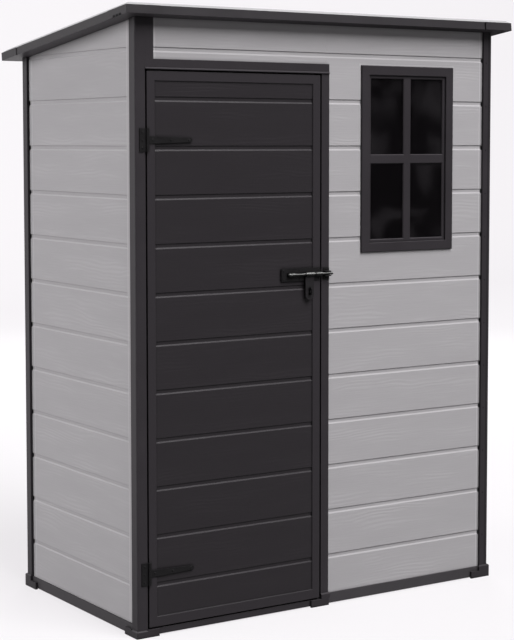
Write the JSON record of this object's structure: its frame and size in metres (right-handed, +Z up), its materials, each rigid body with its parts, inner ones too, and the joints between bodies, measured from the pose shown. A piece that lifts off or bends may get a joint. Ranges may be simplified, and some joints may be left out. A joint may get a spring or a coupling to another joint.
{
  "type": "plastic garden shed",
  "caption": "Small lean-to garden shed in moulded plank-relief panels with a dark frame, a pent roof, a bolted door and a four-pane window.",
  "frame": {"origin": "on the ground under the middle of the roof's outline", "axes": "+Z up, the door and window wall faces -Y, +X to the right of someone facing the door"},
  "size_m": [1.614, 0.943, 2.0758],
  "materials": {
    "grey_plastic": "light grey moulded resin with an embossed wood grain",
    "pale_plastic": "pale ribbed roof sheet",
    "dark_plastic": "anthracite moulded resin, low sheen",
    "door_plastic": "anthracite moulded resin with an embossed wood grain",
    "black_steel": "black powder coat",
    "bright_steel": "zinc plated bar",
    "window": "clear acrylic sheet"
  },
  "bodies": {
    "shed": {"base_rail_back": "dark_plastic", "base_rail_front": "dark_plastic", "base_rail_left": "dark_plastic", "base_rail_right": "dark_plastic", "bolt_keeper": "black_steel", "corner_feet": "dark_plastic", "door_header": "dark_plastic", "door_jamb_left": "dark_plastic", "door_jamb_right": "dark_plastic", "door_sill": "dark_plastic", "fascia_back": "dark_plastic", "fascia_front": "dark_plastic", "fascia_left": "dark_plastic", "fascia_right": "dark_plastic", "floor_left": "grey_plastic", "floor_right": "grey_plastic", "hinge_leaf_lower": "black_steel", "hinge_leaf_upper": "black_steel", "middle_feet": "dark_plastic", "post_back_left": "dark_plastic", "post_back_middle": "dark_plastic", "post_back_right": "dark_plastic", "post_front_left": "dark_plastic", "post_front_right": "dark_plastic", "roof_corner_caps": "dark_plastic", "roof_deck": "grey_plastic", "roof_sheet": "pale_plastic", "wall_back_left": "grey_plastic", "wall_back_right": "grey_plastic", "wall_front_right": "grey_plastic", "wall_left": "grey_plastic", "wall_over_door": "grey_plastic", "wall_right": "grey_plastic", "window_frame": "dark_plastic", "window_glass": "window", "window_sash": "dark_plastic"},
    "door": {"door_leaf": "door_plastic", "hinge_strap_lower": "black_steel", "hinge_strap_upper": "black_steel", "bolt_plate": "black_steel", "bolt_guides": "bright_steel", "padlock_staple": "black_steel"},
    "bolt": {"bolt_bar": "bright_steel"},
    "hasp": {"bolt_hasp": "black_steel"}
  },
  "joints": [
    {"name": "door_swing", "type": "hinge", "parent": "shed", "child": "door", "pos_m": [-0.708, -0.4278, 0.2], "axis": [0, 0, -1], "range_deg": [0, 120]},
    {"name": "bolt_slide", "type": "slide", "parent": "door", "child": "bolt", "axis": [-1, 0, 0], "range_m": [0, 0.046]},
    {"name": "hasp_swing", "type": "hinge", "parent": "door", "child": "hasp", "pos_m": [-0.0725, -0.4335, 1.176], "axis": [-1, 0, 0], "range_deg": [0, 90]}
  ]
}
